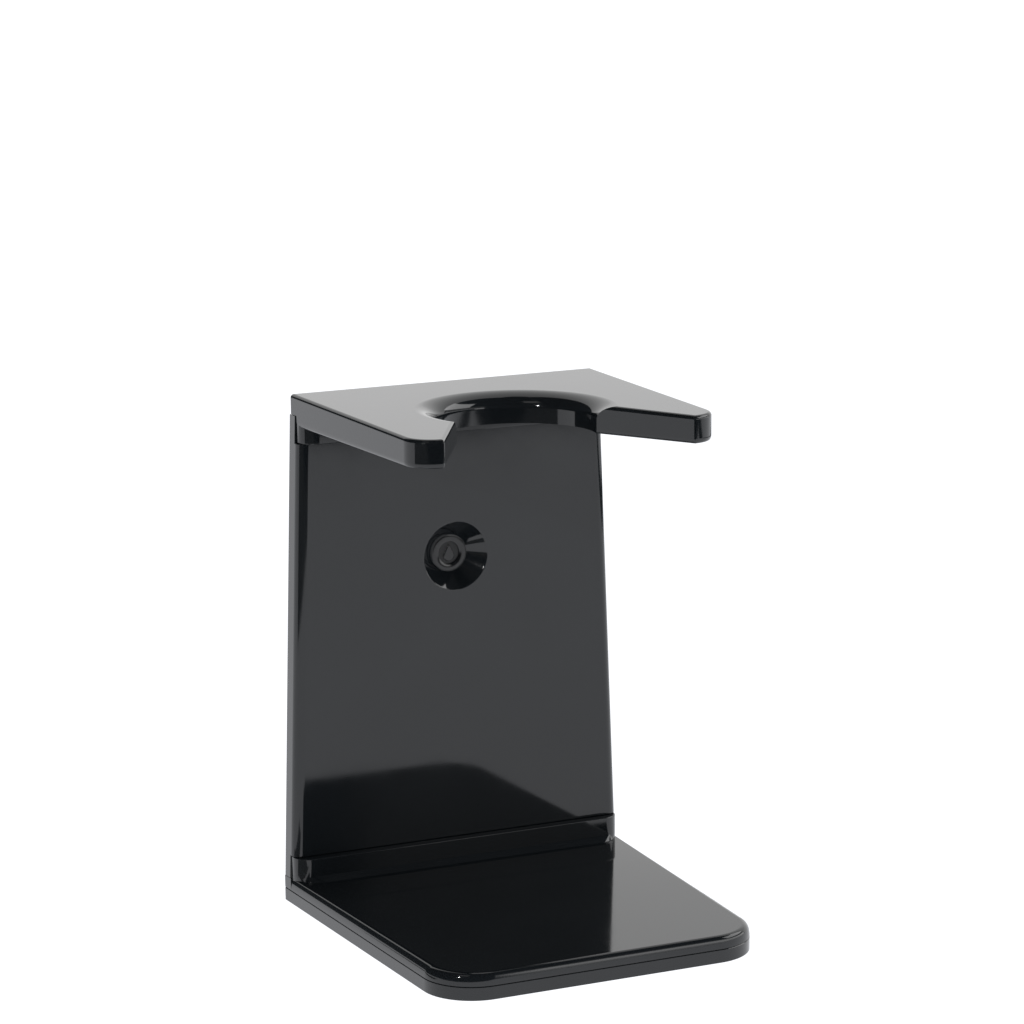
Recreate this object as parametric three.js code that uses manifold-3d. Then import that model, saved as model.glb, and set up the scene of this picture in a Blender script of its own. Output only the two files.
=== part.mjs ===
// Drip stand for a shaving brush or a razor: a weighted base, an upright panel and a forked cradle.
// Millimetres, +Z up, +Y towards the back. The stand rests on Z = 0 and is centred on X = 0 and Y = 0.
import * as THREE from 'three';
import { mergeVertices } from 'three/addons/utils/BufferGeometryUtils.js';
import Module from 'manifold-3d';

const wasm = await Module();
wasm.setup();

// ---------------------------------------------------------------- driving dimensions
const DEPTH = 72;                     // base, front to back
const BACK = DEPTH / 2;               // plane shared by the backs of base, upright and cradle
const FEET = 0.5;                     // how far the rubber feet stand proud of the base
const GAP = 0.3;                      // clearance round pieces that are seated in others
const JOINT = 0.1;                    // clearance at a tight butt joint
const SHARP = 0.2;                    // rounding of corners that are hidden or meant to look sharp

const BASE_BACK_WIDTH = 70.4;
const BASE_FRONT_WIDTH = 65.2;
const BASE_CORNER = 9.9;              // front corners, in plan
const BASE_SEAM = FEET + 2.6;         // height of the joint between shell and cover
const BASE_TOP = FEET + 5.1;
const BASE_TOP_ROUND = 0.95;
const BASE_SKIN = 1.5;                // shell thickness over the cavity
const BASE_WALL = 1.9;
const COVER_FLOOR = 1.2;
const COVER_CHAMFER = 0.2;
const GROOVE = 0.25;                  // chamfer on both sides of the seam
const BACK_CORNER = 1;

const COLLAR_INSET = 0.4;             // each side, from the upright's side face
const COLLAR_CORNER = 3.3;
const BASE_COLLAR_TOP = FEET + 9.7;
const BASE_COLLAR_DEPTH = 6.9;        // front face, from the back plane
const CRADLE_COLLAR_BOTTOM = FEET + 91.1;
const CRADLE_COLLAR_DEPTH = 6.6;

const PANEL_THICKNESS = 5;
const PANEL_EDGE = 2;                 // rounding of the panel's front upright edges
const TONGUE_THICKNESS = 2.8;         // thin ends of the panel, behind the collars
const TONGUE_TOP = FEET + 96.2;
const TONGUE_BOTTOM_WIDTH = 70.3;
const TONGUE_TOP_WIDTH = 63.9;

const CRADLE_TOP = FEET + 100.1;
const CRADLE_BACK_WIDTH = 63.7;
const CRADLE_FRONT_WIDTH = 61;
const CRADLE_REACH = 57;              // front of the arms, from the back plane
const CRADLE_THICK_BACK = 6;
const CRADLE_THICK_FRONT = 5.2;
const CRADLE_CORNER = 4.8;
const CRADLE_TOP_ROUND = 0.3;
const CRADLE_TIP_ROUND = 0.4;

const RING_FROM_BACK = 33.5;
const RING_THROAT = 15;               // radius
const RING_MOUTH = 19;                // radius of the lip where it meets the top face
const RING_LIP_DEPTH = 2.8;
const RING_FOOT_CHAMFER = 0.5;        // width of the chamfer under the throat, twice as tall
const MOUTH_HALF_FRONT = 25;          // half width between the arms at their front
const MOUTH_ANGLE = THREE.MathUtils.degToRad(29.6);
const MOUTH_ROOT_HALF = 9;            // half width of the mouth where it runs out into the ring

const DISH_HEIGHT = FEET + 66.4;
const DISH_RADIUS = 6.7;
const DISH_FLOOR_RADIUS = 3.75;
const DISH_FLOOR = 1.9;               // distance of the dish's floor from the back plane
const BADGE_RADIUS = 3.55;
const BADGE_THICKNESS = 0.6;
const BADGE_POCKET = 1.15;            // distance of the pocket's floor from the back plane
const BADGE_RIM = 1.4;                // width of the badge's flat rim
const BADGE_RECESS = 0.25;
const DROP = { radius: 1.1, low: 0.6, tip: 2.25, foot: 0.15 };   // raised water drop on the badge

const BALLAST = { width: 44, depth: 48, thickness: 1.8, chamfer: 3 };
const FOOT = { radius: 4, recess: 0.6 };
const FEET_AT = { front: [24, -27], back: [26, 27] };
const BOSS = { radius: 2.5, x: 27.5, y: 14 };

const SCREW = {
  head: 1.9, headDepth: 1.1, shank: 0.8, point: 0.32, crossReach: 1.15, crossWidth: 0.5, crossDepth: 0.7,
};
const COVER_SCREW_LENGTH = 3.9;
const PANEL_SCREW_LENGTH = 5.2;
const PANEL_SCREW_X = 20;
const CRADLE_SCREW_Z = FEET + 93.6;
const BASE_SCREW_Z = FEET + 7.4;

const SEGMENTS = { ring: 72, round: 48, corner: 6, small: 20, lip: 8 };
const PAST = 1;                       // how far cutting bodies run past the face they open
const FAR = 200;                      // beyond every face of the stand
const WELD = 1e-5;                    // points nearer than this are one point

// ---------------------------------------------------------------- materials
const finish = (color, roughness, metalness) => (
  () => new THREE.MeshStandardMaterial({ color, roughness, metalness })
);
const blackGloss = finish(0x08080a, 0.12, 0);
const ballastSteel = finish(0x8d9096, 0.5, 1);
const blackSteel = finish(0x3a3b3d, 0.35, 1);
const footRubber = finish(0x1b1b1c, 0.85, 0);

// ---------------------------------------------------------------- solids and meshes
function solid(geometry) {
  const bare = geometry.index ? geometry.toNonIndexed() : geometry.clone();
  bare.deleteAttribute('normal');
  bare.deleteAttribute('uv');
  const merged = mergeVertices(bare, WELD);
  return new wasm.Manifold(new wasm.Mesh({
    numProp: 3,
    vertProperties: new Float32Array(merged.attributes.position.array),
    triVerts: new Uint32Array(merged.index.array),
  }));
}

function piece(name, body, material) {
  const mesh = body.getMesh();
  const geometry = new THREE.BufferGeometry();
  geometry.setAttribute('position', new THREE.BufferAttribute(mesh.vertProperties, 3));
  geometry.setIndex(new THREE.BufferAttribute(mesh.triVerts, 1));
  geometry.computeVertexNormals();
  const node = new THREE.Mesh(geometry, material);
  node.name = name;
  return node;
}

// Closed outline through the corners [x, y, radius], each rounded by an arc of its radius.
function outline(corners) {
  const shape = new THREE.Shape();
  corners.forEach(([x, y, radius], i) => {
    const here = new THREE.Vector2(x, y);
    const before = new THREE.Vector2(...corners.at(i - 1)).sub(here).normalize();
    const after = new THREE.Vector2(...corners[(i + 1) % corners.length]).sub(here).normalize();
    const half = Math.acos(before.dot(after)) / 2;
    const start = here.clone().addScaledVector(before, radius / Math.tan(half));
    const bisector = before.clone().add(after).normalize();
    const centre = here.clone().addScaledVector(bisector, radius / Math.sin(half));
    const end = here.clone().addScaledVector(after, radius / Math.tan(half));
    const from = start.clone().sub(centre).angle();
    const to = end.clone().sub(centre).angle();
    if (i === 0) shape.moveTo(start.x, start.y);
    else shape.lineTo(start.x, start.y);
    shape.absarc(centre.x, centre.y, radius, from, to, before.cross(after) > 0);
  });
  shape.closePath();
  return shape;
}

// Upright prism between two heights; edge > 0 rounds or chamfers both of its rims.
function prism(shape, low, high, edge = 0, steps = 3) {
  const geometry = new THREE.ExtrudeGeometry(shape, {
    depth: high - low - 2 * edge,
    bevelEnabled: edge > 0,
    bevelThickness: edge,
    bevelSize: edge,
    bevelOffset: -edge,
    bevelSegments: steps,
    curveSegments: SEGMENTS.corner,
  });
  return geometry.translate(0, 0, low + edge);
}

const box = (x0, x1, y0, y1, z0, z1) => solid(
  new THREE.BoxGeometry(x1 - x0, y1 - y0, z1 - z0)
    .translate((x0 + x1) / 2, (y0 + y1) / 2, (z0 + z1) / 2),
);

// Solid of revolution about Z through the closed profile [radius, height].
function turned(profile, segments) {
  const points = profile.map(([radius, height]) => new THREE.Vector2(radius, height));
  return new THREE.LatheGeometry(points, segments).rotateX(Math.PI / 2);
}

const disc = (radius, low, high, segments = SEGMENTS.small) => turned(
  [[0, low], [radius, low], [radius, high], [0, high]],
  segments,
);

// ---------------------------------------------------------------- screws
// Countersunk screw with a cross recess: the head's face is at 0 and the shank points along +Z.
function screwBody(length) {
  const body = solid(turned([
    [0, 0],
    [SCREW.head, 0],
    [SCREW.shank, SCREW.headDepth],
    [SCREW.shank, length - SCREW.point],
    [SCREW.point, length],
    [0, length],
  ], SEGMENTS.small));
  const arm = SCREW.crossReach;
  const half = SCREW.crossWidth / 2;
  const cross = box(-arm, arm, -half, half, -PAST, SCREW.crossDepth)
    .add(box(-half, half, -arm, arm, -PAST, SCREW.crossDepth));
  return body.subtract(cross);
}

// Space that such a screw needs, with the clearance round it.
function screwRoom(length) {
  return solid(turned([
    [0, -BASE_COLLAR_DEPTH],
    [SCREW.head + JOINT, -BASE_COLLAR_DEPTH],
    [SCREW.head + JOINT, JOINT],
    [SCREW.shank + JOINT, SCREW.headDepth + JOINT],
    [SCREW.shank + JOINT, length + JOINT],
    [0, length + JOINT],
  ], SEGMENTS.small));
}

const panelScrewsAt = [
  ['cradle_screw_left', -PANEL_SCREW_X, CRADLE_SCREW_Z],
  ['cradle_screw_right', PANEL_SCREW_X, CRADLE_SCREW_Z],
  ['base_screw_left', -PANEL_SCREW_X, BASE_SCREW_Z],
  ['base_screw_right', PANEL_SCREW_X, BASE_SCREW_Z],
];

const coverScrewsAt = [
  ['cover_screw_front_left', -BOSS.x, -BOSS.y],
  ['cover_screw_front_right', BOSS.x, -BOSS.y],
  ['cover_screw_back_left', -BOSS.x, BOSS.y],
  ['cover_screw_back_right', BOSS.x, BOSS.y],
];

const feetAt = [
  ['foot_front_left', -FEET_AT.front[0], FEET_AT.front[1]],
  ['foot_front_right', FEET_AT.front[0], FEET_AT.front[1]],
  ['foot_back_left', -FEET_AT.back[0], FEET_AT.back[1]],
  ['foot_back_right', FEET_AT.back[0], FEET_AT.back[1]],
];

function drillPanelScrews(body) {
  const room = screwRoom(PANEL_SCREW_LENGTH).rotate([90, 0, 0]);
  return panelScrewsAt.reduce(
    (rest, [, x, z]) => rest.subtract(room.translate([x, BACK - JOINT, z])),
    body,
  );
}

function drillCoverScrews(body) {
  const room = screwRoom(COVER_SCREW_LENGTH);
  return coverScrewsAt.reduce(
    (rest, [, x, y]) => rest.subtract(room.translate([x, y, FEET + JOINT])),
    body,
  );
}

// ---------------------------------------------------------------- base
const baseHalfWidth = (y) => THREE.MathUtils.mapLinear(
  y, BACK, -BACK, BASE_BACK_WIDTH / 2, BASE_FRONT_WIDTH / 2,
);

// Plan of the base, inset from its faces; behind > 0 carries it past the back plane.
function baseOutline(inset = 0, behind = 0) {
  const backY = BACK - inset + behind;
  const back = baseHalfWidth(backY) - inset;
  const front = baseHalfWidth(-BACK + inset) - inset;
  const corner = BASE_CORNER - inset;
  return outline([
    [-back, backY, BACK_CORNER],
    [-front, -BACK + inset, corner],
    [front, -BACK + inset, corner],
    [back, backY, BACK_CORNER],
  ]);
}

// Layer of the base with its upper and lower rims eased; the back face stays plain.
function baseLayer(low, high, lowEdge, highEdge) {
  const behind = BASE_CORNER / 2;
  const upper = prism(baseOutline(0, behind), -FAR, high, highEdge);
  const lower = prism(baseOutline(0, behind), low, FAR, lowEdge, 1);
  return solid(upper).intersect(solid(lower)).intersect(box(-FAR, FAR, -FAR, BACK, -FAR, FAR));
}

// Block with rounded front corners that stands in front of a tongue.
function collarBlock(halfWidth, depth, low, high) {
  const behind = BACK - TONGUE_THICKNESS - JOINT;
  return solid(prism(outline([
    [-halfWidth, behind, SHARP],
    [-halfWidth, BACK - depth, COLLAR_CORNER],
    [halfWidth, BACK - depth, COLLAR_CORNER],
    [halfWidth, behind, SHARP],
  ]), low, high));
}

function baseShell() {
  const insideSkin = BASE_TOP - BASE_SKIN / 2;
  const layer = baseLayer(BASE_SEAM + JOINT / 2, BASE_TOP, GROOVE, BASE_TOP_ROUND);
  const heel = solid(prism(baseOutline(0, BACK_CORNER), BASE_SEAM + GROOVE, BASE_TOP))
    .intersect(box(-FAR, FAR, BACK - TONGUE_THICKNESS, BACK, -FAR, FAR));
  const cavity = solid(prism(baseOutline(BASE_WALL), -FAR, BASE_TOP - BASE_SKIN));
  const halfWidth = BASE_BACK_WIDTH / 2 - COLLAR_INSET;
  const collar = collarBlock(halfWidth, BASE_COLLAR_DEPTH, insideSkin, BASE_COLLAR_TOP);
  const boss = solid(disc(BOSS.radius, FEET + COVER_FLOOR + JOINT, insideSkin));
  const shell = coverScrewsAt.reduce(
    (rest, [, x, y]) => rest.add(boss.translate([x, y, 0])),
    layer.add(heel).subtract(cavity).add(collar),
  );
  return drillPanelScrews(drillCoverScrews(shell));
}

function baseCover() {
  const layer = baseLayer(FEET, BASE_SEAM - JOINT / 2, COVER_CHAMFER, GROOVE);
  const cavity = solid(prism(baseOutline(BASE_WALL), FEET + COVER_FLOOR, FAR));
  const recess = solid(disc(FOOT.radius + JOINT, -PAST, FEET + FOOT.recess));
  return feetAt.reduce(
    (rest, [, x, y]) => rest.subtract(recess.translate([x, y, 0])),
    drillCoverScrews(layer.subtract(cavity)),
  );
}

function ballastPlate() {
  const low = FEET + COVER_FLOOR + GAP;
  const halfWidth = BALLAST.width / 2;
  const halfDepth = BALLAST.depth / 2;
  const corners = [[-1, 1], [-1, -1], [1, -1], [1, 1]].map(
    ([x, y]) => [x * halfWidth, y * halfDepth, BALLAST.chamfer],
  );
  return solid(prism(outline(corners), low, low + BALLAST.thickness));
}

function foot() {
  const edge = FEET / 2;
  return solid(turned([
    [0, 0],
    [FOOT.radius - edge, 0],
    [FOOT.radius, edge],
    [FOOT.radius, FEET + FOOT.recess - JOINT],
    [0, FEET + FOOT.recess - JOINT],
  ], SEGMENTS.small));
}

// ---------------------------------------------------------------- upright panel
const panelHalfWidth = (z) => THREE.MathUtils.mapLinear(
  z, BASE_TOP, TONGUE_TOP, TONGUE_BOTTOM_WIDTH / 2, TONGUE_TOP_WIDTH / 2,
);

// Upright prism of a plan drawn at half width 1; its width follows the panel's taper.
function taperedPrism(plan, low, high) {
  const geometry = prism(plan, low, high);
  const position = geometry.attributes.position;
  for (let i = 0; i < position.count; i += 1) {
    position.setX(i, position.getX(i) * panelHalfWidth(position.getZ(i)) / panelHalfWidth(low));
  }
  return solid(geometry);
}

function panelPlan(low, thickness, edge) {
  const half = panelHalfWidth(low);
  return outline([
    [-half, BACK, SHARP],
    [-half, BACK - thickness, edge],
    [half, BACK - thickness, edge],
    [half, BACK, SHARP],
  ]);
}

// Conical dish with a flat floor, and the round pocket that seats the badge.
function dish() {
  const slope = (DISH_RADIUS - DISH_FLOOR_RADIUS) / (PANEL_THICKNESS - DISH_FLOOR);
  const cut = solid(turned([
    [0, BADGE_POCKET],
    [BADGE_RADIUS + JOINT, BADGE_POCKET],
    [BADGE_RADIUS + JOINT, DISH_FLOOR],
    [DISH_FLOOR_RADIUS, DISH_FLOOR],
    [DISH_RADIUS + slope * PAST, PANEL_THICKNESS + PAST],
    [0, PANEL_THICKNESS + PAST],
  ], SEGMENTS.round));
  return cut.rotate([90, 0, 0]).translate([0, BACK, DISH_HEIGHT]);
}

function uprightPanel() {
  const frontLow = BASE_COLLAR_TOP + GAP;
  const frontHigh = CRADLE_COLLAR_BOTTOM - GAP;
  const tongueLow = BASE_TOP + JOINT;
  const tongue = taperedPrism(panelPlan(tongueLow, TONGUE_THICKNESS, SHARP), tongueLow, TONGUE_TOP);
  const front = taperedPrism(panelPlan(frontLow, PANEL_THICKNESS, PANEL_EDGE), frontLow, frontHigh);
  return drillPanelScrews(tongue.add(front).subtract(dish()));
}

// Round badge: a flat rim round a shallow recess with a raised water drop.
function badge() {
  const body = solid(disc(BADGE_RADIUS, 0, BADGE_THICKNESS, SEGMENTS.round));
  const recessFloor = BADGE_THICKNESS - BADGE_RECESS;
  const recess = solid(disc(BADGE_RADIUS - BADGE_RIM, recessFloor, BADGE_THICKNESS + PAST, SEGMENTS.round));
  const drop = new THREE.Shape();
  const flank = Math.asin(DROP.radius / (DROP.tip - DROP.low + DROP.radius));
  drop.absarc(0, -DROP.low, DROP.radius, Math.PI - flank, flank, false);
  drop.lineTo(0, DROP.tip - DROP.low);
  drop.closePath();
  const mark = solid(prism(drop, DROP.foot, BADGE_THICKNESS));
  return body.subtract(recess).add(mark)
    .rotate([90, 0, 0])
    .translate([0, BACK - BADGE_POCKET - JOINT, DISH_HEIGHT]);
}

// ---------------------------------------------------------------- cradle
const ringY = BACK - RING_FROM_BACK;

function cradleOutline() {
  const back = CRADLE_BACK_WIDTH / 2;
  const front = CRADLE_FRONT_WIDTH / 2;
  const tipY = BACK - CRADLE_REACH;
  const rootY = tipY + (MOUTH_HALF_FRONT - MOUTH_ROOT_HALF) / Math.tan(MOUTH_ANGLE);
  return outline([
    [-back, BACK, BACK_CORNER],
    [-front, tipY, CRADLE_CORNER],
    [-MOUTH_HALF_FRONT, tipY, CRADLE_TIP_ROUND],
    [-MOUTH_ROOT_HALF, rootY, CRADLE_TIP_ROUND],
    [MOUTH_ROOT_HALF, rootY, CRADLE_TIP_ROUND],
    [MOUTH_HALF_FRONT, tipY, CRADLE_TIP_ROUND],
    [front, tipY, CRADLE_CORNER],
    [back, BACK, BACK_CORNER],
  ]);
}

// Thins the plate from its back to the tips of the arms; the top face stays level.
function thinTowardsFront(geometry) {
  const position = geometry.attributes.position;
  for (let i = 0; i < position.count; i += 1) {
    const reach = (BACK - position.getY(i)) / CRADLE_REACH;
    const share = THREE.MathUtils.lerp(1, CRADLE_THICK_FRONT / CRADLE_THICK_BACK, reach);
    position.setZ(i, CRADLE_TOP - (CRADLE_TOP - position.getZ(i)) * share);
  }
  return geometry;
}

// Everything the ring leaves open: a rounded lip, a straight throat and a chamfered foot.
function ringRoom() {
  const lip = RING_MOUTH - RING_THROAT;
  const underside = CRADLE_TOP - CRADLE_THICK_BACK;
  const profile = [
    [0, underside - 2 * PAST],
    [RING_THROAT + RING_FOOT_CHAMFER + PAST, underside - 2 * PAST],
    [RING_THROAT, underside + 2 * RING_FOOT_CHAMFER],
  ];
  for (let i = 0; i <= SEGMENTS.lip; i += 1) {
    const angle = (i / SEGMENTS.lip) * Math.PI / 2;
    profile.push([
      RING_MOUTH - lip * Math.cos(angle),
      CRADLE_TOP - RING_LIP_DEPTH + RING_LIP_DEPTH * Math.sin(angle),
    ]);
  }
  profile.push([RING_MOUTH, CRADLE_TOP + PAST], [0, CRADLE_TOP + PAST]);
  return solid(turned(profile, SEGMENTS.ring)).translate([0, ringY, 0]);
}

function cradle() {
  const underside = CRADLE_TOP - CRADLE_THICK_BACK;
  const blank = prism(cradleOutline(), underside, CRADLE_TOP, CRADLE_TOP_ROUND, 2);
  const plate = solid(thinTowardsFront(blank));
  const halfWidth = panelHalfWidth(CRADLE_COLLAR_BOTTOM) - COLLAR_INSET;
  const insidePlate = CRADLE_TOP - CRADLE_THICK_BACK / 2;
  const collar = collarBlock(halfWidth, CRADLE_COLLAR_DEPTH, CRADLE_COLLAR_BOTTOM, insidePlate);
  const rebate = box(-FAR, FAR, BACK - TONGUE_THICKNESS - JOINT, FAR, 0, TONGUE_TOP + JOINT);
  return drillPanelScrews(plate.subtract(ringRoom()).subtract(rebate).add(collar));
}

// ---------------------------------------------------------------- the stand
const stand = new THREE.Group();
const base = new THREE.Group();
const panel = new THREE.Group();
stand.add(base, panel);

base.add(piece('base_shell', baseShell(), blackGloss()));
base.add(piece('base_cover', baseCover(), blackGloss()));
base.add(piece('ballast_plate', ballastPlate(), ballastSteel()));
feetAt.forEach(([name, x, y]) => {
  const node = piece(name, foot(), footRubber());
  node.position.set(x, y, 0);
  base.add(node);
});
coverScrewsAt.forEach(([name, x, y]) => {
  const node = piece(name, screwBody(COVER_SCREW_LENGTH), blackSteel());
  node.position.set(x, y, FEET + 2 * JOINT);
  base.add(node);
});

panel.add(piece('upright_panel', uprightPanel(), blackGloss()));
panel.add(piece('badge', badge(), blackGloss()));
panel.add(piece('cradle', cradle(), blackGloss()));
panelScrewsAt.forEach(([name, x, z]) => {
  const node = piece(name, screwBody(PANEL_SCREW_LENGTH), blackSteel());
  node.rotation.x = Math.PI / 2;
  node.position.set(x, BACK - 2 * JOINT, z);
  panel.add(node);
});

export default stand;
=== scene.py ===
"""Looks of the drip stand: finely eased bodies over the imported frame, black plastic and a pale studio."""

import math

import bmesh
import bpy
from mathutils import Matrix, Vector


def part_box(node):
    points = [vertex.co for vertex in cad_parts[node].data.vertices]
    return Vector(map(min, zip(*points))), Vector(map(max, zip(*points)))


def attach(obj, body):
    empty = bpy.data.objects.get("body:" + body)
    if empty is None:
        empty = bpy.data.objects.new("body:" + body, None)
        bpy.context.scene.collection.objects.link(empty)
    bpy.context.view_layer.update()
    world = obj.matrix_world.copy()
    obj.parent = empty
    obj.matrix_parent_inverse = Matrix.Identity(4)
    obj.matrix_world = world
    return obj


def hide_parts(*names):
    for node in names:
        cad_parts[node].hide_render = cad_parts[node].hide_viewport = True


MM = 0.001              # metres in one millimetre

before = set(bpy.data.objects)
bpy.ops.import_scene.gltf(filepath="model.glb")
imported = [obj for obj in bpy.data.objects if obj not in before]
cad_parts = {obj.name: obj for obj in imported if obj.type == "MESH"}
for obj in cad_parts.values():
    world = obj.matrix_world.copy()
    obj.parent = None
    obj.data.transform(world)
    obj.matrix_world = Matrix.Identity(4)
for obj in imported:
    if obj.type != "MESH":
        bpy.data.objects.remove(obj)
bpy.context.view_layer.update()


# ---------------------------------------------------------------- dimensions, in millimetres
def low_mm(node):
    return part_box(node)[0] / MM


def high_mm(node):
    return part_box(node)[1] / MM


SHELL_HIGH = high_mm("base_shell")
COVER_LOW, COVER_HIGH = low_mm("base_cover"), high_mm("base_cover")
PANEL_LOW, PANEL_HIGH = low_mm("upright_panel"), high_mm("upright_panel")
CRADLE_LOW, CRADLE_HIGH = low_mm("cradle"), high_mm("cradle")

BACK = COVER_HIGH.y
BASE_BACK_HALF = COVER_HIGH.x
BASE_FRONT_HALF = 32.6
BASE_CORNER = 9.9
BASE_SEAM = COVER_HIGH.z + 0.05
BASE_TOP = 5.6
BASE_SKIN = 1.5
BASE_WALL = 1.9
BASE_WALL_LEAN = (2.0, 14.0)            # degrees, at the wall's foot and under its rounding
BASE_SIDE_ROUND = 1.8                   # upper side edge, at the front
BASE_HEEL_ROUND = 0.4                   # upper side edge, at the back
BASE_FRONT_ROUND = 1.0
COVER_FLOOR = 1.2
COVER_FOOT_ROUND = 0.15
SEAM_ROUND = 0.1
SEAM_GAP = 0.03
COLLAR_INSET = 0.4
COLLAR_CORNER = 3.3
COLLAR_SKIRT = (1.4, 1.0)               # reach and rise of the slope at the base collar's root
COLLAR_SKIRT_CORNER = 5.2
COLLAR_TOP_ROUND = 0.2
BASE_COLLAR_TOP = SHELL_HIGH.z
BASE_COLLAR_DEPTH = 6.9
CRADLE_COLLAR_BOTTOM = CRADLE_LOW.z
CRADLE_COLLAR_DEPTH = 6.6
TONGUE_THICKNESS = 2.8
TONGUE_CORNER = 0.2
PANEL_LOW_HALF = 35.15                  # half width at the top of the base
PANEL_HIGH_HALF = 31.95                 # half width at the upper tongue's end
PANEL_THICKNESS = 5.0
PANEL_EDGE = 2.0
PANEL_END_ROUND = 0.15
PANEL_END_GAP = 0.05
JOINT = 0.1
CRADLE_BACK_HALF = CRADLE_HIGH.x
CRADLE_FRONT_HALF = 30.5
CRADLE_REACH = 57.0
CRADLE_THICK_BACK = 6.0
CRADLE_THICK_FRONT = 5.2
CRADLE_TIP = BACK - CRADLE_REACH
CRADLE_CORNER = 5.6
CRADLE_TOP_ROUND = 0.75
CRADLE_FOOT_WIDTH = 0.45
CRADLE_FOOT_RISE = 1.1
CRADLE_TIP_ROUND = 0.4
CRADLE_BACK_ROUND = 0.5
RING_Y = BACK - 33.5
RING_THROAT = 15.0
RING_MOUTH = 19.0
RING_LIP_DEPTH = 2.8
RING_FOOT_ROUND = 0.1
MOUTH_HALF_FRONT = 25.0
MOUTH_ANGLE = math.radians(29.6)
MOUTH_ROOT_HALF = 9.0
DISH_Z = (low_mm("badge").z + high_mm("badge").z) / 2
DISH_RADIUS = 6.7
DISH_FLOOR_RADIUS = 3.65
DISH_FLOOR = 1.9
DISH_RIM_ROUND = 0.4
BADGE_RADIUS = 3.55
BADGE_POCKET = 1.15
BADGE_RECESS_RADIUS = 2.15
BADGE_RECESS = 0.25
DROP_RADIUS = 1.1
DROP_LOW = 0.6
DROP_TIP = 1.65
SHARP = 0.04                            # rounding of corners that look sharp
BOSS_RADIUS = 2.5
BOSS_LOW = 1.8
FOOT_RECESS_RADIUS = 4.1
FOOT_RECESS_HIGH = 1.1
FOOT_GROOVE = 0.12                      # depth of the ring groove under each foot
FOOT_ROUND = 0.25
BALLAST_CHAMFER = 3
BALLAST_EASE = 0.2
SCREW_HEAD = 1.9                        # radius
SCREW_SHANK = 0.8                       # radius
SCREW_HEAD_DEPTH = 1.1
SCREW_POINT = 0.32
SCREW_EASE = 0.12
CROSS_REACH = 1.15
CROSS_HALF = 0.25
CROSS_DEPTH = 0.7
PANEL_SCREW_LENGTH = 5.2
COVER_SCREW_LENGTH = 3.9
COLLAR_BURIED = 1.5                     # how far the cradle's collar runs up inside the plate
SINK_INTO_SHELL = 0.03                  # how far the collar's root starts below the base's top
WIDE = 80                               # beyond every side of the stand


# ---------------------------------------------------------------- mesh tools
def outline(corners, inset=0.0, fixed=(), steps=10):
    """Points round a closed outline, anticlockwise. Each corner is (x, y, radius).

    Its sides are moved inwards by inset, which is one number or a list with one for each side, but those
    that start at the corners in fixed stay where they are.
    """
    count = len(corners)
    insets = list(inset) if isinstance(inset, (list, tuple)) else [inset] * count
    spots = [Vector(corner[:2]) for corner in corners]
    ways = [(spots[(i + 1) % count] - spots[i]).normalized() for i in range(count)]
    starts = []
    for i in range(count):
        inwards = Vector((-ways[i].y, ways[i].x))
        starts.append(spots[i] + inwards * (0.0 if i in fixed else insets[i]))
    points = []
    for i in range(count):
        before, after = ways[i - 1], ways[i]
        turn = before.x * after.y - before.y * after.x
        reach = starts[i] - starts[i - 1]
        along = (reach.x * after.y - reach.y * after.x) / turn
        here = starts[i - 1] + before * along
        moved = not (i in fixed or (i - 1) % count in fixed)
        radius = corners[i][2]
        if moved:
            shift = (insets[i - 1] + insets[i]) / 2
            radius += -shift if turn > 0 else shift
        radius = max(radius, SHARP)
        half = math.acos(max(-1.0, min(1.0, -before.dot(after)))) / 2
        bisector = (after - before).normalized()
        centre = here + bisector * (radius / math.sin(half))
        first = here - before * (radius / math.tan(half)) - centre
        swing = (math.pi - 2 * half) * (1 if turn > 0 else -1)
        for k in range(steps + 1):
            angle = swing * k / steps
            spin = Vector((
                first.x * math.cos(angle) - first.y * math.sin(angle),
                first.x * math.sin(angle) + first.y * math.cos(angle),
            ))
            points.append(centre + spin)
    return points


def make(name, bm):
    """Object from a bmesh drawn in millimetres."""
    bmesh.ops.scale(bm, vec=(MM, MM, MM), verts=bm.verts)
    bmesh.ops.recalc_face_normals(bm, faces=bm.faces)
    mesh = bpy.data.meshes.new(name)
    bm.to_mesh(mesh)
    bm.free()
    piece = bpy.data.objects.new(name, mesh)
    bpy.context.scene.collection.objects.link(piece)
    return piece


def loft(name, rings):
    """Closed body through a stack of rings, each a list of (x, y, z)."""
    bm = bmesh.new()
    rows = [[bm.verts.new(point) for point in ring] for ring in rings]
    for lower, upper in zip(rows, rows[1:]):
        for i in range(len(lower)):
            j = (i + 1) % len(lower)
            bm.faces.new((lower[i], lower[j], upper[j], upper[i]))
    bm.faces.new(rows[0][::-1])
    bm.faces.new(rows[-1])
    return make(name, bm)


def at_height(points, z):
    return [(point.x, point.y, z) for point in points]


def turned(name, profile, segments):
    """Body turned about Z from a profile of (radius, height) that starts and ends on the axis."""
    bm = bmesh.new()
    rows = []
    for radius, height in profile:
        if radius < 1e-6:
            rows.append([bm.verts.new((0, 0, height))])
            continue
        rows.append([
            bm.verts.new((
                radius * math.cos(math.tau * i / segments),
                radius * math.sin(math.tau * i / segments),
                height,
            ))
            for i in range(segments)
        ])
    for lower, upper in zip(rows, rows[1:]):
        for i in range(segments):
            j = (i + 1) % segments
            corners = [
                lower[i % len(lower)], lower[j % len(lower)], upper[j % len(upper)], upper[i % len(upper)],
            ]
            unique = list(dict.fromkeys(corners))
            bm.faces.new(unique)
    return make(name, bm)


def block(name, low, high):
    rings = [
        [(low[0], low[1], z), (high[0], low[1], z), (high[0], high[1], z), (low[0], high[1], z)]
        for z in (low[2], high[2])
    ]
    return loft(name, rings)


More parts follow.
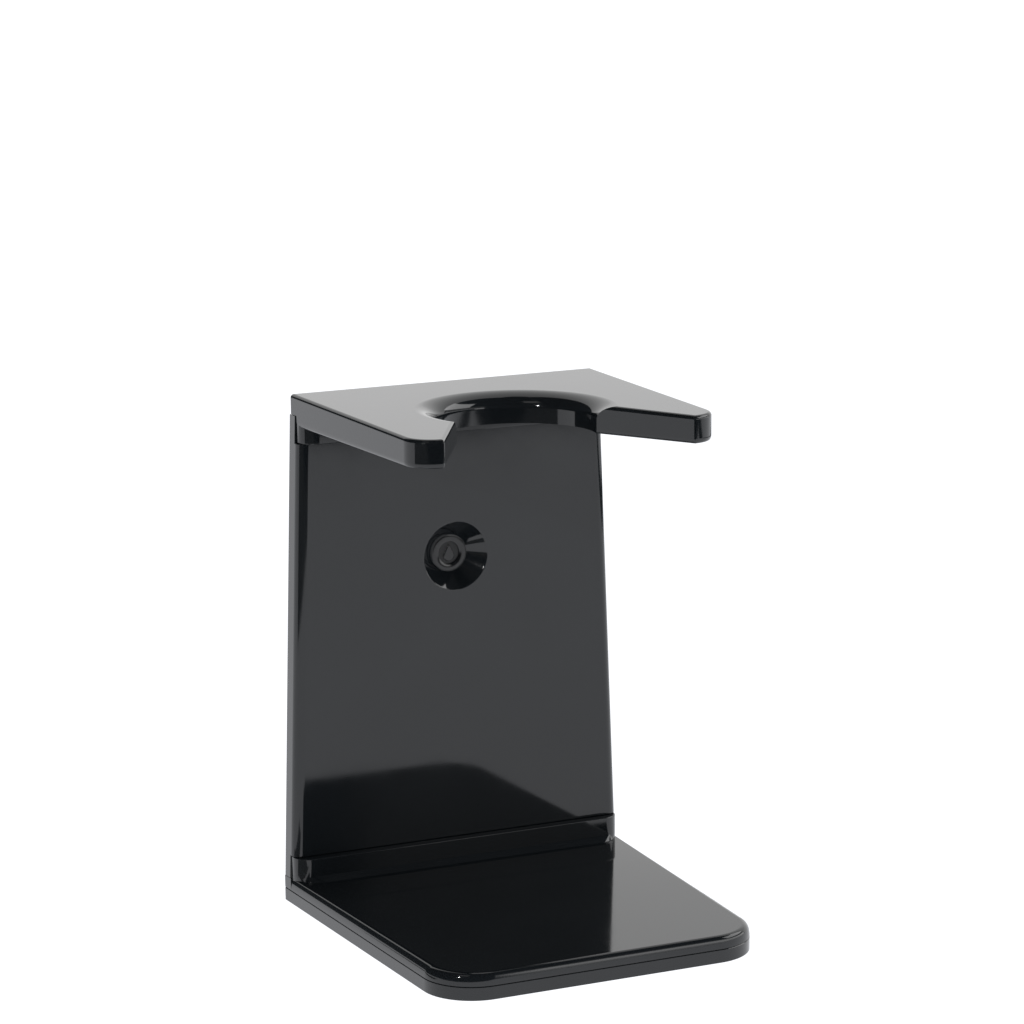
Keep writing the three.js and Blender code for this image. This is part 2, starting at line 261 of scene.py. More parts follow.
def arc(centre, radius, first, last, steps):
    """Points (radius, height) on an arc from one angle to another, in degrees."""
    points = []
    for k in range(steps + 1):
        angle = math.radians(first + (last - first) * k / steps)
        points.append((centre[0] + radius * math.cos(angle), centre[1] + radius * math.sin(angle)))
    return points


def settle(piece):
    """Turns the piece's modifiers into mesh."""
    bpy.context.view_layer.update()
    graph = bpy.context.evaluated_depsgraph_get()
    mesh = bpy.data.meshes.new_from_object(piece.evaluated_get(graph))
    piece.modifiers.clear()
    piece.data = mesh


def combine(piece, tool, operation):
    step = piece.modifiers.new("combine", "BOOLEAN")
    step.operation = operation
    step.solver = "EXACT"
    step.object = tool
    settle(piece)
    bpy.data.objects.remove(tool)


def finished(piece, nodes, material, sharp=32.0):
    """Sets the shading, sharp over the angle given in degrees, and ties the piece to the frame."""
    mesh = piece.data
    mesh.name = piece.name
    mesh.shade_smooth()
    mesh.set_sharp_from_angle(angle=math.radians(sharp))
    weigh = piece.modifiers.new("weigh", "WEIGHTED_NORMAL")
    weigh.keep_sharp = True
    weigh.weight = 100
    settle(piece)
    piece.data.materials.clear()
    piece.data.materials.append(material)
    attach(piece, "root")
    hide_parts(*nodes)


# ---------------------------------------------------------------- materials
def nodes_of(name):
    material = bpy.data.materials.new(name)
    material.use_nodes = True
    tree = material.node_tree
    return material, tree.nodes, tree.links, tree.nodes["Principled BSDF"]


def noise(nodes, links, scale, detail=3.0, roughness=0.5):
    """Noise over the piece's own space; scale is in waves per metre."""
    where = nodes.new("ShaderNodeTexCoord")
    texture = nodes.new("ShaderNodeTexNoise")
    texture.inputs["Scale"].default_value = scale
    texture.inputs["Detail"].default_value = detail
    texture.inputs["Roughness"].default_value = roughness
    links.new(where.outputs["Object"], texture.inputs["Vector"])
    return texture.outputs["Fac"]


def mapped(nodes, links, value, low, high, start=0.3, end=0.7):
    spread = nodes.new("ShaderNodeMapRange")
    spread.inputs["From Min"].default_value = start
    spread.inputs["From Max"].default_value = end
    spread.inputs["To Min"].default_value = low
    spread.inputs["To Max"].default_value = high
    links.new(value, spread.inputs["Value"])
    return spread.outputs["Result"]


def tinted(nodes, links, value, dark, light):
    ramp = nodes.new("ShaderNodeValToRGB")
    ramp.color_ramp.elements[0].position = 0.3
    ramp.color_ramp.elements[1].position = 0.7
    ramp.color_ramp.elements[0].color = (*dark, 1)
    ramp.color_ramp.elements[1].color = (*light, 1)
    links.new(value, ramp.inputs["Fac"])
    return ramp.outputs["Color"]


def bumps(nodes, links, layers):
    """Chain of bump nodes; each layer is (height, depth in metres)."""
    normal = None
    for height, depth in layers:
        bump = nodes.new("ShaderNodeBump")
        bump.inputs["Strength"].default_value = 1.0
        bump.inputs["Distance"].default_value = depth
        links.new(height, bump.inputs["Height"])
        if normal is not None:
            links.new(normal, bump.inputs["Normal"])
        normal = bump.outputs["Normal"]
    return normal


def edge_mask(nodes, links, low, high):
    """Near 1 on convex edges, 0 on flats."""
    geometry = nodes.new("ShaderNodeNewGeometry")
    return mapped(nodes, links, geometry.outputs["Pointiness"], 0.0, 1.0, low, high)


def mixed(nodes, links, factor, first, second):
    blend = nodes.new("ShaderNodeMix")
    blend.data_type = "RGBA"
    links.new(factor, blend.inputs["Factor"])
    links.new(first, blend.inputs["A"])
    blend.inputs["B"].default_value = (*second, 1)
    return blend.outputs["Result"]


def gloss_plastic(name, dark, light, wear, rough_low, rough_high, wave, matte_from=None):
    """Polished moulded plastic: slow sink waves, fine orange peel, a rubbed tone on the edges.

    What lies behind the two depths of matte_from, in millimetres, turns matt.
    """
    material, nodes, links, shader = nodes_of(name)
    tone = tinted(nodes, links, noise(nodes, links, 55), dark, light)
    worn = mixed(nodes, links, edge_mask(nodes, links, 0.53, 0.62), tone, wear)
    links.new(worn, shader.inputs["Base Color"])
    smudge = noise(nodes, links, 120, 5.0, 0.6)
    roughness = mapped(nodes, links, smudge, rough_low, rough_high)
    if matte_from:
        where = nodes.new("ShaderNodeTexCoord")
        axes = nodes.new("ShaderNodeSeparateXYZ")
        links.new(where.outputs["Object"], axes.inputs["Vector"])
        matte = mapped(nodes, links, axes.outputs["Y"], 0.0, 0.35, matte_from[0] * MM, matte_from[1] * MM)
        total = nodes.new("ShaderNodeMath")
        total.operation = "ADD"
        links.new(roughness, total.inputs[0])
        links.new(matte, total.inputs[1])
        roughness = total.outputs["Value"]
    links.new(roughness, shader.inputs["Roughness"])
    sink = noise(nodes, links, 38, 1.0)
    peel = noise(nodes, links, 2600, 2.0)
    links.new(bumps(nodes, links, [(sink, wave * MM), (peel, 0.0006 * MM)]), shader.inputs["Normal"])
    shader.inputs["IOR"].default_value = 1.5
    return material


def rolled_steel(name, dark, light, rough_low, rough_high, grain):
    material, nodes, links, shader = nodes_of(name)
    tone = tinted(nodes, links, noise(nodes, links, 400, 6.0, 0.65), dark, light)
    links.new(tone, shader.inputs["Base Color"])
    shader.inputs["Metallic"].default_value = 1.0
    roughness = mapped(nodes, links, noise(nodes, links, 900, 4.0), rough_low, rough_high)
    links.new(roughness, shader.inputs["Roughness"])
    links.new(bumps(nodes, links, [(noise(nodes, links, grain, 3.0), 0.01 * MM)]), shader.inputs["Normal"])
    return material


def foot_rubber(name):
    material, nodes, links, shader = nodes_of(name)
    tone = tinted(nodes, links, noise(nodes, links, 700, 5.0), (0.014, 0.014, 0.014), (0.028, 0.028, 0.029))
    dusty = mixed(nodes, links, edge_mask(nodes, links, 0.52, 0.6), tone, (0.06, 0.059, 0.057))
    links.new(dusty, shader.inputs["Base Color"])
    links.new(mapped(nodes, links, noise(nodes, links, 1500, 4.0), 0.7, 0.92), shader.inputs["Roughness"])
    links.new(bumps(nodes, links, [(noise(nodes, links, 6000, 3.0), 0.03 * MM)]), shader.inputs["Normal"])
    return material


BLACK = gloss_plastic(
    "black_gloss",
    dark=(0.0070, 0.0088, 0.0104),
    light=(0.0092, 0.0112, 0.0130),
    wear=(0.012, 0.013, 0.014),
    rough_low=0.05,
    rough_high=0.09,
    wave=0.006,
)
BADGE = gloss_plastic(
    "badge_gloss",
    dark=(0.003, 0.0036, 0.0044),
    light=(0.005, 0.0056, 0.0064),
    wear=(0.010, 0.011, 0.012),
    rough_low=0.10,
    rough_high=0.16,
    wave=0.0,
    matte_from=(low_mm("badge").y + 0.4 * BADGE_RECESS, low_mm("badge").y + 0.6 * BADGE_RECESS),
)
BALLAST = rolled_steel("ballast_steel", (0.24, 0.25, 0.27), (0.40, 0.41, 0.43), 0.38, 0.6, 1800)
SCREW = rolled_steel("screw_steel", (0.035, 0.035, 0.038), (0.075, 0.075, 0.08), 0.25, 0.45, 5000)
RUBBER = foot_rubber("foot_rubber")


# ---------------------------------------------------------------- screws
def panel_screw_rooms():
    return [
        (node, (low_mm(node) + high_mm(node)) / 2)
        for node in ("cradle_screw_left", "cradle_screw_right", "base_screw_left", "base_screw_right")
    ]


def cover_screw_rooms():
    return [
        (node, (low_mm(node) + high_mm(node)) / 2)
        for node in (
            "cover_screw_front_left", "cover_screw_front_right",
            "cover_screw_back_left", "cover_screw_back_right",
        )
    ]


def screw_profile(length, ease, behind=0.0):
    """Countersunk screw, or with ease and behind the room that it needs."""
    head, shank, head_depth = SCREW_HEAD + ease, SCREW_SHANK + ease, SCREW_HEAD_DEPTH + ease
    profile = [(0, -behind)]
    if behind:
        profile += [(head, -behind), (head, ease)]
    else:
        profile += [(head - SCREW_EASE, 0.0)] + arc((head - SCREW_EASE, SCREW_EASE), SCREW_EASE, -90, 20, 4)
    profile += [(shank, head_depth), (shank, length + ease - (0 if ease else SCREW_POINT))]
    if not ease:
        profile += [(SCREW_POINT, length)]
    return profile + [(0, length + ease)]


def drill(piece, faces_back):
    """Clearance holes for the screws: from behind, or from below."""
    rooms = panel_screw_rooms() if faces_back else cover_screw_rooms()
    length = PANEL_SCREW_LENGTH if faces_back else COVER_SCREW_LENGTH
    for node, middle in rooms:
        tool = turned("tool", screw_profile(length, JOINT, behind=4.0), 32)
        if faces_back:
            tool.data.transform(Matrix.Rotation(math.radians(90), 4, "X"))
            tool.location = Vector((middle.x, high_mm(node).y, middle.z)) * MM
        else:
            tool.location = Vector((middle.x, middle.y, low_mm(node).z)) * MM
        combine(piece, tool, "DIFFERENCE")


def build_screws():
    for faces_back, rooms, length in (
        (True, panel_screw_rooms(), PANEL_SCREW_LENGTH),
        (False, cover_screw_rooms(), COVER_SCREW_LENGTH),
    ):
        for node, middle in rooms:
            piece = turned(node + "_fine", screw_profile(length, 0.0), 40)
            for turn in (0, 90):
                low, high = (-CROSS_REACH, -CROSS_HALF, -1.0), (CROSS_REACH, CROSS_HALF, CROSS_DEPTH)
                slot = block("tool", low, high)
                slot.rotation_euler.z = math.radians(turn)
                combine(piece, slot, "DIFFERENCE")
            if faces_back:
                piece.data.transform(Matrix.Rotation(math.radians(90), 4, "X"))
                offset = Vector((middle.x, high_mm(node).y, middle.z)) * MM
            else:
                offset = Vector((middle.x, middle.y, low_mm(node).z)) * MM
            piece.data.transform(Matrix.Translation(offset))
            finished(piece, [node], SCREW)


# ---------------------------------------------------------------- base
def base_corners():
    return [
        (-BASE_BACK_HALF, BACK, SHARP),
        (-BASE_FRONT_HALF, -BACK, BASE_CORNER),
        (BASE_FRONT_HALF, -BACK, BASE_CORNER),
        (BASE_BACK_HALF, BACK, SHARP),
    ]


def base_ring(inset, z):
    """One level of the base; its back stays in the back plane."""
    return at_height(outline(base_corners(), inset, fixed=(3,), steps=20), z)


def hollow_tool(low, high):
    ring = outline(base_corners(), BASE_WALL, steps=12)
    return loft("tool", [at_height(ring, low), at_height(ring, high)])


def collar_rings(half, depth, low, high, skirt, ease):
    """Block in front of a tongue, with an eased far end and, if asked, a sloping skirt at its root."""
    behind = BACK - TONGUE_THICKNESS - JOINT
    levels = [(-skirt[0], low), (0.0, low + skirt[1])] if skirt else [(0.0, low)]
    for k in range(5):
        angle = math.radians(90 * k / 4)
        levels.append((ease * (1 - math.cos(angle)), high - ease * (1 - math.sin(angle))))
    rings = []
    for inset, z in levels:
        radius, fixed = (COLLAR_SKIRT_CORNER, (0, 2, 3)) if inset < 0 else (COLLAR_CORNER, (3,))
        corners = [
            (-half, behind, SHARP), (-half, BACK - depth, radius),
            (half, BACK - depth, radius), (half, behind, SHARP),
        ]
        rings.append(at_height(outline(corners, inset, fixed=fixed, steps=8), z))
    return rings


def wall_inset(height, round_off, low):
    """How far the shell's wall stands in from its foot, at a height, under a rounding of the given radius."""
    first, last = (math.radians(lean) for lean in BASE_WALL_LEAN)
    bend = BASE_TOP - round_off * (1 - math.sin(last))
    sweep = (bend - low) / (math.sin(last) - math.sin(first))
    if height <= bend:
        angle = math.asin(math.sin(last) - (bend - height) / sweep)
        return sweep * (math.cos(first) - math.cos(angle))
    angle = math.asin(min(1.0, 1 - (BASE_TOP - height) / round_off))
    return sweep * (math.cos(first) - math.cos(last)) + round_off * (math.cos(last) - math.cos(angle))


def shell_ring(height, low):
    """One level of the shell; the rounding along its sides grows from the heel to the front."""
    heel, side, front = (
        wall_inset(height, round_off, low)
        for round_off in (BASE_HEEL_ROUND, BASE_SIDE_ROUND, BASE_FRONT_ROUND)
    )
    corner = BASE_CORNER - side / 2
    corners = [
        (-BASE_BACK_HALF + heel, BACK, SHARP), (-BASE_FRONT_HALF + side, -BACK, corner),
        (BASE_FRONT_HALF - side, -BACK, corner), (BASE_BACK_HALF - heel, BACK, SHARP),
    ]
    return at_height(outline(corners, [0.0, front, 0.0, 0.0], fixed=(3,), steps=20), height)


def base_shell():
    low = BASE_SEAM + SEAM_GAP / 2
    wall_low = low + SEAM_ROUND
    bend = BASE_TOP - BASE_SIDE_ROUND
    heights = [wall_low + (bend - wall_low) * k / 6 for k in range(6)]
    heights += [bend + BASE_SIDE_ROUND * math.sin(math.radians(90 * k / 20)) for k in range(21)]
    rings = [base_ring(SEAM_ROUND, low)] + [shell_ring(height, wall_low) for height in heights]
    piece = loft("base_shell_fine", rings)
    heel = loft("tool", [base_ring(0.0, wall_low), base_ring(0.0, BASE_TOP)])
    front = block("tool", (-WIDE, -WIDE, 0), (WIDE, BACK - TONGUE_THICKNESS, 20))
    combine(heel, front, "DIFFERENCE")
    combine(piece, heel, "UNION")
    combine(piece, hollow_tool(-1.0, BASE_TOP - BASE_SKIN), "DIFFERENCE")
    half = BASE_BACK_HALF - COLLAR_INSET
    rings = collar_rings(
        half, BASE_COLLAR_DEPTH, BASE_TOP - SINK_INTO_SHELL, BASE_COLLAR_TOP, COLLAR_SKIRT, COLLAR_TOP_ROUND,
    )
    inside_skin = BASE_TOP - BASE_SKIN / 2
    root = [(x, y, inside_skin) for x, y, z in rings[0]]
    combine(piece, loft("tool", [root] + rings), "UNION")
    for node, middle in cover_screw_rooms():
        profile = [(0, BOSS_LOW), (BOSS_RADIUS, BOSS_LOW), (BOSS_RADIUS, inside_skin), (0, inside_skin)]
        boss = turned("tool", profile, 40)
        boss.location = Vector((middle.x, middle.y, 0)) * MM
        combine(piece, boss, "UNION")
    drill(piece, faces_back=False)
    drill(piece, faces_back=True)
    finished(piece, ["base_shell"], BLACK)


def base_cover():
    levels = []
    for k in range(5):
        angle = math.radians(90 * k / 4)
        levels.append((
            COVER_FOOT_ROUND * (1 - math.sin(angle)),
            COVER_LOW.z + COVER_FOOT_ROUND * (1 - math.cos(angle)),
        ))
    high = BASE_SEAM - SEAM_GAP / 2
    levels += [(0.0, high - SEAM_ROUND), (SEAM_ROUND, high)]
    piece = loft("base_cover_fine", [base_ring(inset, z) for inset, z in levels])
    combine(piece, hollow_tool(COVER_LOW.z + COVER_FLOOR, 20.0), "DIFFERENCE")
    for node in ("foot_front_left", "foot_front_right", "foot_back_left", "foot_back_right"):
        middle = (low_mm(node) + high_mm(node)) / 2
        profile = [(0, -1), (FOOT_RECESS_RADIUS, -1)]
        profile += [(FOOT_RECESS_RADIUS, FOOT_RECESS_HIGH), (0, FOOT_RECESS_HIGH)]
        tool = turned("tool", profile, 48)
        tool.location = Vector((middle.x, middle.y, 0)) * MM
        combine(piece, tool, "DIFFERENCE")
    drill(piece, faces_back=False)
    finished(piece, ["base_cover"], BLACK)


def feet_and_ballast():
    for node in ("foot_front_left", "foot_front_right", "foot_back_left", "foot_back_right"):
        low, high = low_mm(node), high_mm(node)
        radius = (high.x - low.x) / 2
        groove = low.z + FOOT_GROOVE
        profile = [(0, low.z), (radius - 1.2, low.z), (radius - 1.0, groove), (radius - 0.7, groove)]
        profile += [(radius - 0.5, low.z)]
        profile += arc((radius - FOOT_ROUND, FOOT_ROUND), FOOT_ROUND, -90, 0, 4)
        profile += [(radius, high.z), (0, high.z)]
        piece = turned(node + "_fine", profile, 56)
        middle = Vector(((low.x + high.x) / 2, (low.y + high.y) / 2, 0))
        piece.data.transform(Matrix.Translation(middle * MM))
        finished(piece, [node], RUBBER)
    low, high = low_mm("ballast_plate"), high_mm("ballast_plate")
    corners = [
        (x, y, BALLAST_CHAMFER)
        for x, y in ((low.x, high.y), (low.x, low.y), (high.x, low.y), (high.x, high.y))
    ]
    levels = [(BALLAST_EASE, low.z), (0.0, low.z + BALLAST_EASE)]
    levels += [(0.0, high.z - BALLAST_EASE), (BALLAST_EASE, high.z)]
    piece = loft("ballast_plate_fine", [at_height(outline(corners, inset), z) for inset, z in levels])
    finished(piece, ["ballast_plate"], BALLAST)


# ---------------------------------------------------------------- upright panel and badge
def panel_half(z):
    share = (z - BASE_TOP) / (PANEL_HIGH.z - BASE_TOP)
    return PANEL_LOW_HALF + (PANEL_HIGH_HALF - PANEL_LOW_HALF) * share


def panel_ring(thickness, edge, inset, z):
    half = panel_half(z)
    corners = [
        (-half, BACK, TONGUE_CORNER), (-half, BACK - thickness, edge),
        (half, BACK - thickness, edge), (half, BACK, TONGUE_CORNER),
    ]
    return at_height(outline(corners, inset, fixed=(3,), steps=16), z)


def upright_panel():
    low, high = BASE_COLLAR_TOP + PANEL_END_GAP, CRADLE_COLLAR_BOTTOM - PANEL_END_GAP
    levels = []
    for k in range(6):
        angle = math.radians(90 * k / 5)
        levels.append((
            PANEL_END_ROUND * (1 - math.sin(angle)),
            low + PANEL_END_ROUND * (1 - math.cos(angle)),
        ))
    levels += [(inset, high - (z - low)) for inset, z in reversed(levels)]
    rings = [panel_ring(PANEL_THICKNESS, PANEL_EDGE, inset, z) for inset, z in levels]
    piece = loft("upright_panel_fine", rings)
    ends = (PANEL_LOW.z, PANEL_HIGH.z)
    tongue = loft("tool", [panel_ring(TONGUE_THICKNESS, TONGUE_CORNER, 0.0, z) for z in ends])
    combine(piece, tongue, "UNION")
    slope = math.atan2(DISH_RADIUS - DISH_FLOOR_RADIUS, PANEL_THICKNESS - DISH_FLOOR)
    lift = DISH_RIM_ROUND * math.tan((math.pi / 2 - slope) / 2)
    centre = (DISH_RADIUS + lift, PANEL_THICKNESS - DISH_RIM_ROUND)
    rim = arc(centre, DISH_RIM_ROUND, 180 - math.degrees(slope), 96, 6)
    seat = BADGE_RADIUS + 0.02
    profile = [(0, BADGE_POCKET), (seat, BADGE_POCKET), (seat, DISH_FLOOR)]
    profile += [(DISH_FLOOR_RADIUS, DISH_FLOOR)] + rim
    profile += [(rim[-1][0] + 0.6, PANEL_THICKNESS + 0.05), (rim[-1][0] + 0.6, PANEL_THICKNESS + 1)]
    profile += [(0, PANEL_THICKNESS + 1)]
    dish = turned("tool", profile, 128)
    dish.data.transform(Matrix.Rotation(math.radians(90), 4, "X"))
    dish.location = Vector((0, BACK, DISH_Z)) * MM
    combine(piece, dish, "DIFFERENCE")
    drill(piece, faces_back=True)
    finished(piece, ["upright_panel"], BLACK)


def badge():
    low, high = low_mm("badge"), high_mm("badge")
    thick = high.y - low.y
    ease = 0.05
    profile = [(0, 0), (BADGE_RADIUS, 0), (BADGE_RADIUS, thick - ease)]
    profile += arc((BADGE_RADIUS - ease, thick - ease), ease, 0, 90, 3)[1:]
    profile += [
        (BADGE_RECESS_RADIUS + 0.1, thick), (BADGE_RECESS_RADIUS + 0.03, thick - 0.04),
        (BADGE_RECESS_RADIUS, thick - BADGE_RECESS), (0, thick - BADGE_RECESS),
    ]
    piece = turned("badge_fine", profile, 96)
    drop = []
    for k in range(25):
        angle = math.radians(150 + 240 * k / 24)
        drop.append(Vector((DROP_RADIUS * math.cos(angle), DROP_RADIUS * math.sin(angle) - DROP_LOW)))
    drop.append(Vector((0.0, DROP_TIP)))
    rings = [at_height([point * scale for point in drop], z) for scale, z in (
        (1.0, 0.2), (1.0, thick - 0.08), (0.93, thick - 0.02), (0.85, thick),
    )]
    combine(piece, loft("tool", rings), "UNION")
    piece.data.transform(Matrix.Rotation(math.radians(90), 4, "X"))
    piece.data.transform(Matrix.Translation(Vector((0, high.y, DISH_Z)) * MM))
    finished(piece, ["badge"], BADGE)


# ---------------------------------------------------------------- cradle
def arm_points(inset):
    """Outline of the cradle's right-hand half: root of the mouth, tip of the arm, side and back corner."""
    lean = math.atan2(CRADLE_BACK_HALF - CRADLE_FRONT_HALF, CRADLE_REACH)
    side = Vector((math.cos(lean), -math.sin(lean)))
    edge = side.dot(Vector((CRADLE_FRONT_HALF, CRADLE_TIP)))

    def beside(y, distance):
        return Vector(((edge - distance - side.y * y) / side.x, y))

    shoulder = beside(CRADLE_TIP + CRADLE_CORNER, CRADLE_CORNER)
    splay = Vector((math.cos(MOUTH_ANGLE), math.sin(MOUTH_ANGLE)))
    start = Vector((MOUTH_HALF_FRONT, CRADLE_TIP))
    small = max(CRADLE_TIP_ROUND - inset, SHARP)
    orbit = CRADLE_CORNER - inset - small
    turn = MOUTH_ANGLE - math.acos((inset + small - splay.dot(shoulder - start)) / orbit)
    nose = shoulder + Vector((math.cos(turn), math.sin(turn))) * orbit
    length = (MOUTH_HALF_FRONT - MOUTH_ROOT_HALF) / math.sin(MOUTH_ANGLE)
    corner = max(CRADLE_BACK_ROUND - inset, SHARP)
    heel = beside(BACK - inset - corner, inset + corner)
    mouth, nose_end, side_turn = (math.degrees(angle) for angle in (MOUTH_ANGLE, turn, -lean))
    points = arc(nose, small, mouth - 180, nose_end, 6)
    points += arc(shoulder, CRADLE_CORNER - inset, nose_end, side_turn, 20)[1:]
    points += arc(heel, corner, side_turn, 90, 6)
    root = start + splay * inset + Vector((-splay.y, splay.x)) * length
    return [root] + [Vector(point) for point in points]


def cradle_ring(inset, drop):
    """One level of the plate, drop below its top; the plate thins towards the tips of its arms."""
    right = arm_points(inset)
    ring = []
    for point in right + [Vector((-point.x, point.y)) for point in reversed(right)]:
        reach = (BACK - point.y) / CRADLE_REACH
        share = 1 + (CRADLE_THICK_FRONT / CRADLE_THICK_BACK - 1) * reach
        depth = drop * share if drop > CRADLE_THICK_BACK / 2 else drop
        ring.append((point.x, point.y, CRADLE_HIGH.z - depth))
    return ring


def cradle():
    levels = []
    for k in range(13):
        angle = math.radians(90 * k / 12)
        levels.append((
            CRADLE_FOOT_WIDTH * (1 - math.sin(angle)),
            CRADLE_THICK_BACK - CRADLE_FOOT_RISE * (1 - math.cos(angle)),
        ))
    for k in range(9):
        angle = math.radians(90 * k / 8)
        levels.append((
            CRADLE_TOP_ROUND * (1 - math.cos(angle)),
            CRADLE_TOP_ROUND * (1 - math.sin(angle)),
        ))
    piece = loft("cradle_fine", [cradle_ring(inset, drop) for inset, drop in levels])
    top = CRADLE_HIGH.z
    foot = top - CRADLE_THICK_BACK
    profile = [(0, foot - 2), (RING_THROAT + RING_FOOT_ROUND + 1.0, foot - 2)]
    profile += [(RING_THROAT + RING_FOOT_ROUND, foot), (RING_THROAT, foot + 2 * RING_FOOT_ROUND)]
    for k in range(25):
        angle = math.radians(90 * k / 24)
        profile.append((
            RING_MOUTH - (RING_MOUTH - RING_THROAT) * math.cos(angle),
            top - RING_LIP_DEPTH * (1 - math.sin(angle)),
        ))
    profile += [(RING_MOUTH + 0.5, top + 0.02), (RING_MOUTH + 0.5, top + 1), (0, top + 1)]
    ring = turned("tool", profile, 192)
    ring.location = Vector((0, RING_Y, 0)) * MM
    combine(piece, ring, "DIFFERENCE")
    rebate_front = BACK - TONGUE_THICKNESS - JOINT
    rebate = block("tool", (-WIDE, rebate_front, 50), (WIDE, WIDE, PANEL_HIGH.z + JOINT))
    combine(piece, rebate, "DIFFERENCE")
    half = panel_half(CRADLE_COLLAR_BOTTOM) - COLLAR_INSET
    root = -(foot + COLLAR_BURIED)
    rings = collar_rings(half, CRADLE_COLLAR_DEPTH, root, -CRADLE_COLLAR_BOTTOM, None, COLLAR_TOP_ROUND)
    rings = [[(x, y, -z) for x, y, z in ring] for ring in rings][::-1]
    combine(piece, loft("tool", rings), "UNION")
    drill(piece, faces_back=True)
    finished(piece, ["cradle"], BLACK, sharp=20.0)


base_shell()
base_cover()
feet_and_ballast()
upright_panel()
badge()
cradle()
build_screws()


# ---------------------------------------------------------------- studio
def glow(name, strength, colour=(1.0, 1.0, 1.0)):
    material = bpy.data.materials.new(name)
    material.use_nodes = True
    nodes, links = material.node_tree.nodes, material.node_tree.links
    nodes.clear()
    light = nodes.new("ShaderNodeEmission")
    light.inputs["Strength"].default_value = strength
    light.inputs["Color"].default_value = (*colour, 1)
    links.new(light.outputs["Emission"], nodes.new("ShaderNodeOutputMaterial").inputs["Surface"])
    return material


def staged(piece, material, seen=False):
    piece.data.materials.append(material)
    piece.visible_camera = seen


def direction(azimuth, elevation):
    """Unit vector; azimuth 0 is straight ahead of the stand's front, 90 its right-hand side."""
    a, e = math.radians(azimuth), math.radians(elevation)
    return Vector((math.sin(a) * math.cos(e), -math.cos(a) * math.cos(e), math.sin(e)))


def card(name, azimuths, elevations, distance, strength, steps=16):
    """Curved light panel round the stand, between two azimuths and two elevations."""
    bm = bmesh.new()
    rows = []
    for j in range(steps + 1):
        e = elevations[0] + (elevations[1] - elevations[0]) * j / steps
        rows.append([
            bm.verts.new(direction(azimuths[0] + (azimuths[1] - azimuths[0]) * i / steps, e) * distance)
            for i in range(steps + 1)
        ])
    for lower, upper in zip(rows, rows[1:]):
        for i in range(steps):
            bm.faces.new((lower[i], lower[i + 1], upper[i + 1], upper[i]))
    mesh = bpy.data.meshes.new(name)
    bm.to_mesh(mesh)
    bm.free()
    piece = bpy.data.objects.new(name, mesh)
    bpy.context.scene.collection.objects.link(piece)
    staged(piece, glow(name, strength))


def patch(name, corners, height, strength, seen=False, colour=(1.0, 1.0, 1.0)):
    """Flat glowing sheet that lies level; its strength may be near zero, for sheets of painted shade."""
    bm = bmesh.new()
    bm.faces.new([bm.verts.new((x, y, height)) for x, y in corners])
    mesh = bpy.data.meshes.new(name)
    bm.to_mesh(mesh)
    bm.free()
    piece = bpy.data.objects.new(name, mesh)
    bpy.context.scene.collection.objects.link(piece)
    staged(piece, glow(name, strength, colour), seen)


def sector(first, last, near, far, step=1.5):
    """Corners of a ring sector on the floor, between two azimuths and two radii."""
    count = round((last - first) / step)
    angles = [first + (last - first) * k / count for k in range(count + 1)]
    points = [direction(a, 0) * near for a in angles] + [direction(a, 0) * far for a in reversed(angles)]
    return [(point.x, point.y) for point in points]


PALE = (0.985, 0.995, 1.03)
WHITE_STRENGTH = 1.15
LAMP_RADIUS = 20.0      # millimetres
DOME_RADIUS = 7         # metres

# Floor and the dark sheets that lie on it, in metres; only reflections see the sheets. The sheets are painted
# shade: dim patches on the glowing floor where it reflects darker.
patch("floor", [(-9, -9), (9, -9), (9, 9), (-9, 9)], 0.0, WHITE_STRENGTH, seen=True, colour=PALE)
# painted shade: darker floor from 0.3 m out, ahead and to the left, seen only in reflections
patch("dark_sector", sector(-88, 13.5, 0.30, 6), 0.0005, 0.12)
# painted shade: darker floor beyond 0.42 m in front, seen only in reflections
patch("dark_front", [(-5, -5), (5, -5), (5, -0.4235), (-5, -0.4235)], 0.0006, 0.004)
# painted shade: a darker strip of floor off to the right, seen only in reflections
patch("dark_right", [(0.385, -0.43), (0.475, -0.43), (0.475, 0.3), (0.385, 0.3)], 0.0007, 0.02)
# painted contact shadow of the stand on the floor beside its right side, seen only in reflections
patch("painted_contact_shadow_right", [(0.0352, 0.001), (0.0475, 0.001), (0.0475, 0.0145), (0.0352, 0.0145)], 0.0002, 0.004)
# painted contact shadow of the stand on the floor to its left, seen only in reflections
patch("painted_contact_shadow_left", [(-0.080, -0.020), (-0.054, -0.020), (-0.054, 0.037), (-0.080, 0.037)], 0.0003, 0.15)

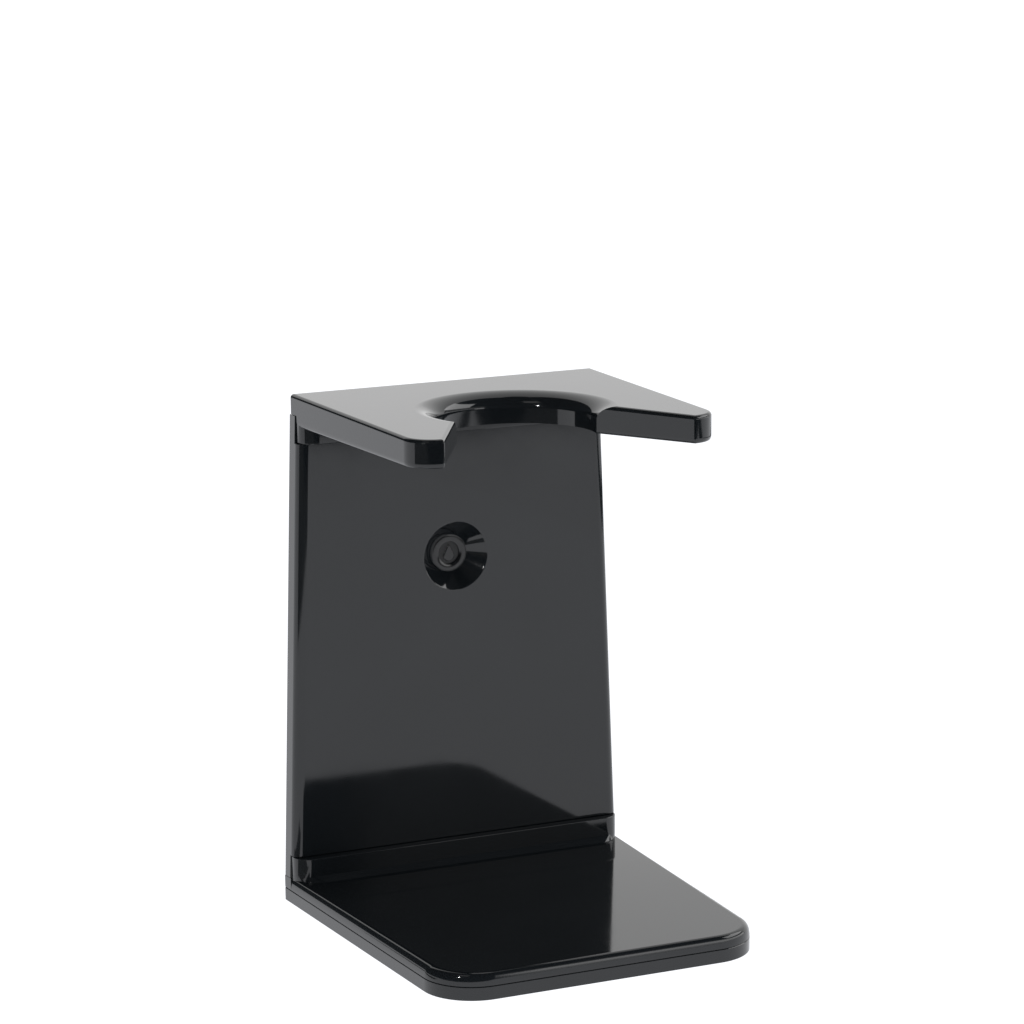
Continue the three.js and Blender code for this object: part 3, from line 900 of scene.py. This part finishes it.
# Light panels: azimuths, elevations, distance and strength.
card("back_card_low", (100, 200), (-1, 17), 2.2, 1.15)
card("back_card_high", (100, 200), (17, 80), 2.2, 1.05)
card("right_card_low", (22, 98), (-1, 3), 1.4, 1.3)
card("right_card", (22, 98), (3, 11), 1.4, 2.6)
card("right_card_high", (22, 98), (11, 24), 1.4, 0.45)
card("right_softbox", (48, 104), (24, 48), 1.2, 3.3)
card("left_softbox", (-68, -38), (46, 62), 1.2, 0.7)
globe = [(0, -LAMP_RADIUS)] + arc((0, 0), LAMP_RADIUS, -80, 80, 16) + [(0, LAMP_RADIUS)]
lamp = turned("left_lamp", globe, 32)
lamp.location = direction(-57, 25)
staged(lamp, glow("left_lamp", 500.0))

world = bpy.data.worlds.new("studio")
world.use_nodes = True
world.node_tree.nodes["Background"].inputs["Color"].default_value = (0.05, 0.054, 0.06, 1)
bpy.context.scene.world = world

# White surroundings that only the camera sees; turned() draws in millimetres, so the scale makes it metres.
cove = [(0, -DOME_RADIUS)] + arc((0, 0), DOME_RADIUS, -80, 80, 16) + [(0, DOME_RADIUS)]
dome = turned("pale_cove", cove, 48)
dome.scale = (1000, 1000, 1000)
staged(dome, glow("pale_cove", WHITE_STRENGTH), seen=True)
dome.visible_glossy = False
dome.visible_diffuse = False
dome.visible_transmission = False
dome.visible_shadow = False

# ---------------------------------------------------------------- camera
STANDPOINT = Vector((-0.28575, -0.61066, 0.22097))
YAW, PITCH, ROLL = math.radians(24.315), math.radians(14.323), math.radians(-0.648)
ahead = Vector((math.sin(YAW) * math.cos(PITCH), math.cos(YAW) * math.cos(PITCH), -math.sin(PITCH)))
level = Vector((math.cos(YAW), -math.sin(YAW), 0))
upright = level.cross(ahead)
across = level * math.cos(ROLL) + upright * math.sin(ROLL)
above = upright * math.cos(ROLL) - level * math.sin(ROLL)
lens = bpy.data.cameras.new("photo_view")
lens.lens = 130.10
lens.sensor_width = 36
lens.shift_x = 0.03457
lens.shift_y = 0.16563
lens.clip_start = 0.01
camera = bpy.data.objects.new("photo_view", lens)
camera.matrix_world = Matrix((
    (across.x, above.x, -ahead.x, STANDPOINT.x),
    (across.y, above.y, -ahead.y, STANDPOINT.y),
    (across.z, above.z, -ahead.z, STANDPOINT.z),
    (0, 0, 0, 1),
))
bpy.context.scene.collection.objects.link(camera)
bpy.context.scene.camera = camera
bpy.context.scene.view_settings.view_transform = "Standard"
